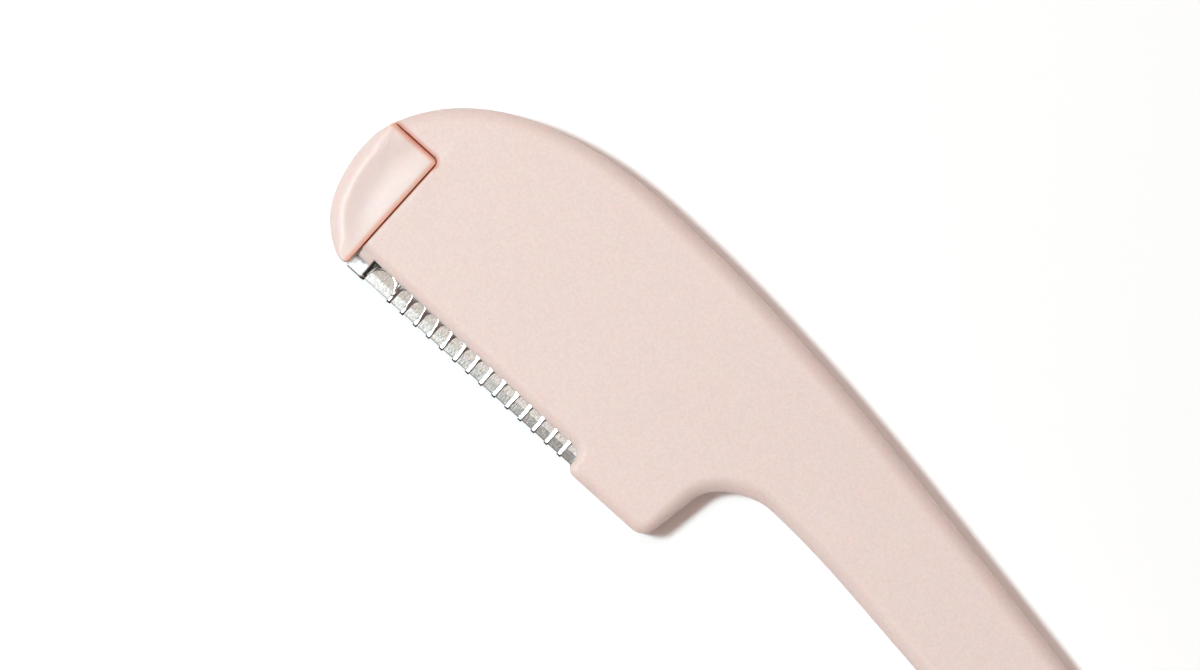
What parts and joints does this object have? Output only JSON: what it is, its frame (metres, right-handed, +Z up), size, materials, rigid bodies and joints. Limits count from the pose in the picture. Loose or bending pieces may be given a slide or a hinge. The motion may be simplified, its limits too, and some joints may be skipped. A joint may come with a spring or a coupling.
{
  "type": "eyebrow razor",
  "caption": "Slim flat facial razor with a guarded steel blade on a slide-out cartridge, a curved back, a finger notch and a long narrow handle.",
  "frame": {"origin": "middle of the footprint on the plane that the razor lies on", "axes": "+X along the cutting edge, from the nose towards the end of the handle; +Y from the cutting edge towards the back; +Z up, out of the upper face"},
  "size_m": [0.14, 0.028, 0.0047],
  "materials": {
    "body": "fine spark-textured moulding, pale pink",
    "carrier": "polished moulding, pale pink",
    "clamp": "plain moulding, pale pink",
    "blade": "ground steel strip with a honed edge",
    "guard": "bright thin pierced steel foil"
  },
  "bodies": {
    "handle": {"body": "body"},
    "cartridge": {"cartridge_carrier": "carrier", "clamp_plate": "clamp", "blade": "blade", "guard_foil": "guard"}
  },
  "joints": [
    {"name": "cartridge_slide", "type": "slide", "parent": "handle", "child": "cartridge", "axis": [-1, 0, 0], "range_m": [0, 0.03]}
  ]
}
